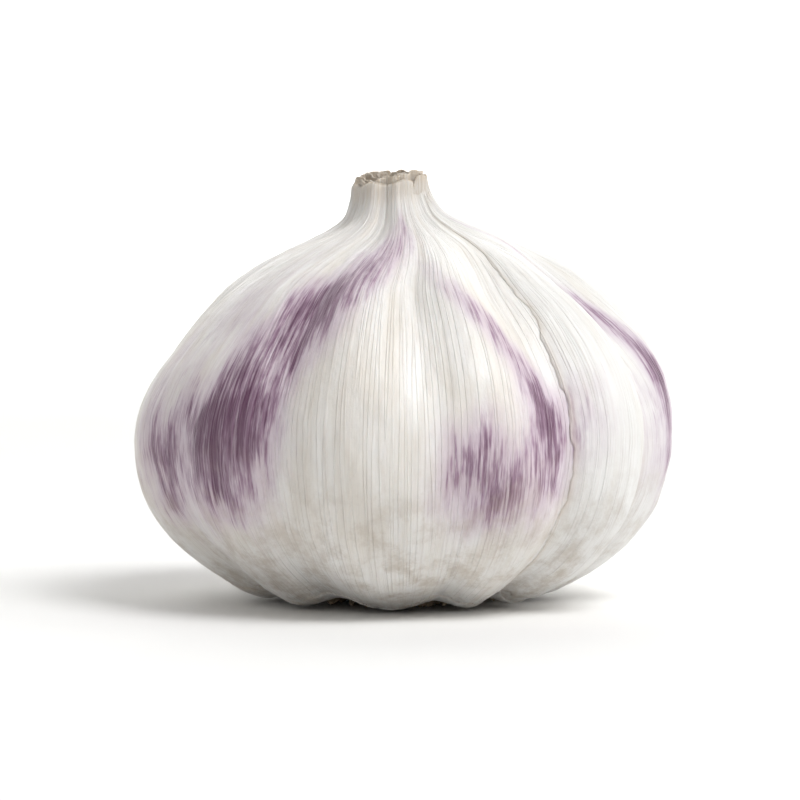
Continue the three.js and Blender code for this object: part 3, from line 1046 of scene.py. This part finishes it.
class GARLIC_OT_roots(bpy.types.Operator):
    """Makes the trimmed root plate and its tuft of root stubs"""

    bl_idname = "garlic.roots"
    bl_label = "Roots"

    def execute(self, context):
        settings = context.scene.garlic_root
        self.plate(settings)
        self.tuft(settings)
        return {"FINISHED"}

    def plate(self, settings):
        """The woody disc: flat and scarred below, rounded at the edge, closed at its seat."""
        rim = (PLATE_HIGH.x - PLATE_LOW.x) / 2 * DISC_SHARE
        seat = PLATE_HIGH.z
        line = spline_point(DISC_PROFILE, np.linspace(0, 1, DISC_ROWS))
        around = np.linspace(0, 2 * math.pi, DISC_COLUMNS, endpoint=False)
        azimuth, across = np.meshgrid(around, line[:, 0])
        height = np.broadcast_to(line[:, 1:], azimuth.shape)
        scar = 0.05 * np.sin(23 * across) * np.sin(9 * azimuth + 5 * across)
        scar = scar + 0.04 * np.sin(31 * azimuth + 17 * across)
        height = np.clip(height + scar * (1 - smoothstep(across, 0.9, 1.0)), 0.01, 1.0)
        radius = rim * across * (1 + 0.02 * np.sin(7 * azimuth) + 0.015 * np.sin(12 * azimuth + 1))
        points = ring_point(azimuth, radius, seat * height).reshape(-1, 3)
        points = np.concatenate([points, [[0, 0, seat * DISC_MIDDLE], [0, 0, seat]]])
        disc = mesh_from("root_plate_disc", points, shell_faces(DISC_ROWS, DISC_COLUMNS))
        disc.data.materials.append(root_material("root_plate_wood", settings, 1.0))
        finish_piece(disc, "dry_root", "root_plate")

    def tuft(self, settings):
        """A ring-shaped bed just above the plate's underside, with the roots set on it."""
        reach = (PLATE_HIGH.x - PLATE_LOW.x) / 2 * TUFT_SHARE
        around = np.linspace(0, 2 * math.pi, BED_COLUMNS, endpoint=False)
        azimuth, radius = np.meshgrid(around, [BED_HOLE * reach, reach])
        points = ring_point(azimuth, radius, 0 * radius + BED_HEIGHT)
        bed = mesh_from("root_tuft", points, grid_faces(2, BED_COLUMNS, closed=True))
        made = bed.modifiers.new("Root tuft", "NODES")
        made.node_group = root_tree()
        sizes = {"Spacing": settings.spacing, "Length": settings.length, "Thickness": settings.thickness}
        limits = {"Reach": reach, "Trim": TRIM_HEIGHT, "Crook": ROOT_CROOK, "Seed": ROOT_SEED}
        set_inputs(made, {**sizes, **limits, "Material": root_material("root_fibre", settings, 1.15)})
        finish_piece(bed, "dry_root")


# A soft light above and to the right, one beside the bulb, and washes that face away from the bulb.
BULB_MIDDLE = (0, 0, NECK_TOP * MM / 2)
Light = namedtuple("Light", "name place aim size power")
LIGHTS = (
    Light("key", (0.50, -0.42, 0.95), BULB_MIDDLE, 0.55, 8.8),
    Light("side", (1.00, -0.05, 0.55), BULB_MIDDLE, 0.6, 2.9),
    Light("wash_back", (0, 0.4, 1.3), (0, 2.3, 1.1), 1.0, 38.0),
    Light("wash_front", (0, -0.4, 1.3), (0, -2.3, 1.1), 1.0, 36.0),
    Light("wash_left", (-0.4, 0, 1.3), (-2.3, 0, 1.1), 1.0, 36.0),
)
ROOM_COLOUR = (1.0, 0.995, 0.985, 1)
ROOM_STRENGTH = 0.38
VIEW_CENTRE = (0, 0, 21.5 * MM)
SENSOR_WIDTH = 36.0


class GARLIC_OT_stage(bpy.types.Operator):
    """Makes the pale floor and backdrop, the soft lights and the camera"""

    bl_idname = "garlic.stage"
    bl_label = "Stage"

    def execute(self, context):
        settings = context.scene.garlic_stage
        self.backdrop(settings)
        self.lights(context)
        self.camera(context, settings)
        return {"FINISHED"}

    def backdrop(self, settings):
        """One sheet: the floor, a wide curve behind the bulb and the wall."""
        half, front, back, bend, top = 3.0, -3.0, 0.9, 0.7, 3.0
        turns = np.linspace(0, math.pi / 2, 24)
        curve = [(back + bend * math.sin(a), bend - bend * math.cos(a)) for a in turns]
        line = [(front, 0.0), *curve, (back + bend, top)]
        points = np.array([(x, y, z) for y, z in line for x in (-half, half)])
        sheet = mesh_from("backdrop", points, grid_faces(len(line), 2, closed=False))
        plain = {"Roughness": 0.75, "Specular IOR Level": 0.1}
        material, sketch, shader = new_material("studio_white", plain)
        place = sketch.add("ShaderNodeTexCoord").outputs["Object"]
        tone = sketch.stretch(sketch.noise(place, 3.0, 2.0, 0.5), 0.2, 0.8)
        dimmer = [0.985 * c for c in settings.floor_colour]
        sketch.feed(shader.inputs["Base Color"], sketch.mix(tone, settings.floor_colour, dimmer))
        sheet.data.materials.append(material)

    def lights(self, context):
        for made in LIGHTS:
            light = bpy.data.lights.new(made.name, "AREA")
            light.size = made.size
            light.energy = made.power
            lamp = new_object(made.name, light)
            lamp.location = Vector(made.place)
            lamp.rotation_euler = (Vector(made.aim) - lamp.location).to_track_quat("-Z", "Y").to_euler()
        room = bpy.data.worlds.new("room")
        room.use_nodes = True
        room.node_tree.nodes["Background"].inputs["Color"].default_value = ROOM_COLOUR
        room.node_tree.nodes["Background"].inputs["Strength"].default_value = ROOM_STRENGTH
        context.scene.world = room
        context.scene.view_settings.view_transform = "Standard"

    def camera(self, context, settings):
        lens = bpy.data.cameras.new("camera")
        lens.sensor_width = SENSOR_WIDTH
        lens.lens = SENSOR_WIDTH * settings.distance / settings.view_width
        camera = new_object("camera", lens)
        back = Vector((0, -math.cos(settings.elevation), math.sin(settings.elevation)))
        camera.location = Vector(VIEW_CENTRE) + back * settings.distance
        camera.rotation_euler = (-back).to_track_quat("-Z", "Y").to_euler()
        lens.clip_start, lens.clip_end = 0.01, 20.0
        context.scene.camera = camera


class GARLIC_PT_panel(bpy.types.Panel):
    """Lists the pieces of the garlic bulb"""

    bl_idname = "GARLIC_PT_panel"
    bl_label = "Garlic Bulb"
    bl_space_type = "VIEW_3D"
    bl_region_type = "UI"
    bl_category = "Garlic"

    def draw(self, context):
        for operator in OPERATORS:
            self.layout.operator(operator.bl_idname)


GROUPS = {
    "garlic_skin": GarlicSkinSettings,
    "garlic_wrapper": GarlicWrapperSettings,
    "garlic_root": GarlicRootSettings,
    "garlic_stage": GarlicStageSettings,
}
OPERATORS = (GARLIC_OT_stage, GARLIC_OT_skin, GARLIC_OT_wrappers, GARLIC_OT_neck, GARLIC_OT_roots)


def register():
    for name, group in GROUPS.items():
        bpy.utils.register_class(group)
        setattr(bpy.types.Scene, name, bpy.props.PointerProperty(type=group))
    for made in (*OPERATORS, GARLIC_PT_panel):
        bpy.utils.register_class(made)


def unregister():
    for made in (GARLIC_PT_panel, *reversed(OPERATORS)):
        bpy.utils.unregister_class(made)
    for name, group in reversed(GROUPS.items()):
        delattr(bpy.types.Scene, name)
        bpy.utils.unregister_class(group)


def main():
    register()
    bpy.ops.garlic.stage()
    bpy.ops.garlic.skin()
    bpy.ops.garlic.wrappers()
    bpy.ops.garlic.neck()
    bpy.ops.garlic.roots()


if __name__ == "__main__":
    main()
